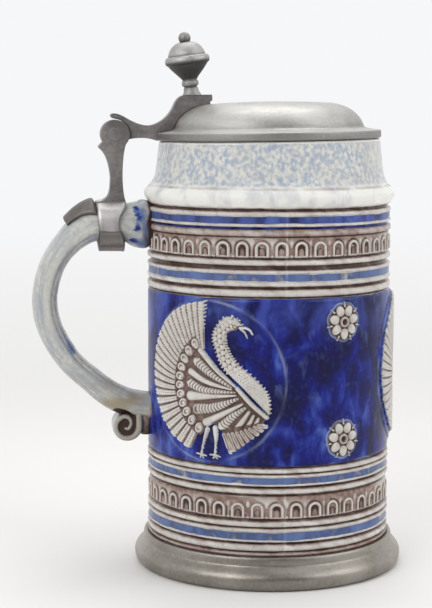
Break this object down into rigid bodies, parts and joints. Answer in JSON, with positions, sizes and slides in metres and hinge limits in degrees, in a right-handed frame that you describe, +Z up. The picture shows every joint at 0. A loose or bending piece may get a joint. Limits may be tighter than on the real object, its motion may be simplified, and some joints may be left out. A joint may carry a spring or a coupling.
{
  "type": "lidded beer mug",
  "caption": "Tall lidded stoneware mug with relief panel, hinged pewter lid with thumb knob, side handle and pewter foot ring, for serving beer.",
  "frame": {"origin": "centre of the flat underside, on the axis of the body", "axes": "+Z up along the axis of the body, handle and hinge along -X, front medallion on +X, hinge pin along Y"},
  "size_m": [0.1606, 0.1164, 0.2291],
  "materials": {
    "blue_glaze": "glossy salt glaze, cobalt blue in the panel and bands, grey cream on rings, bead and neck",
    "pale_glaze": "glossy salt glaze, grey cream with brown in the recesses",
    "pewter": "satin pewter with turning marks",
    "dark_pewter": "satin pewter, darkened with age"
  },
  "bodies": {
    "mug": {"stoneware_body": "blue_glaze", "stoneware_handle": "pale_glaze", "bird_medallion_front": "pale_glaze", "bird_medallion_right": "pale_glaze", "bird_medallion_left": "pale_glaze", "rosette_upper_right": "pale_glaze", "rosette_lower_right": "pale_glaze", "rosette_upper_left": "pale_glaze", "rosette_lower_left": "pale_glaze", "foot_ring": "pewter", "handle_saddle": "pewter", "handle_strap": "dark_pewter", "handle_tang": "dark_pewter", "hinge_post": "dark_pewter", "hinge_pin": "dark_pewter", "pin_cap_right": "dark_pewter", "pin_cap_left": "dark_pewter"},
    "lid": {"lid": "pewter", "lid_lever": "dark_pewter", "thumb_knob": "pewter"}
  },
  "joints": [
    {"name": "lid_hinge", "type": "hinge", "parent": "mug", "child": "lid", "pos_m": [-0.0665, 0, 0.1858], "axis": [0, -1, 0], "range_deg": [0, 105]}
  ]
}
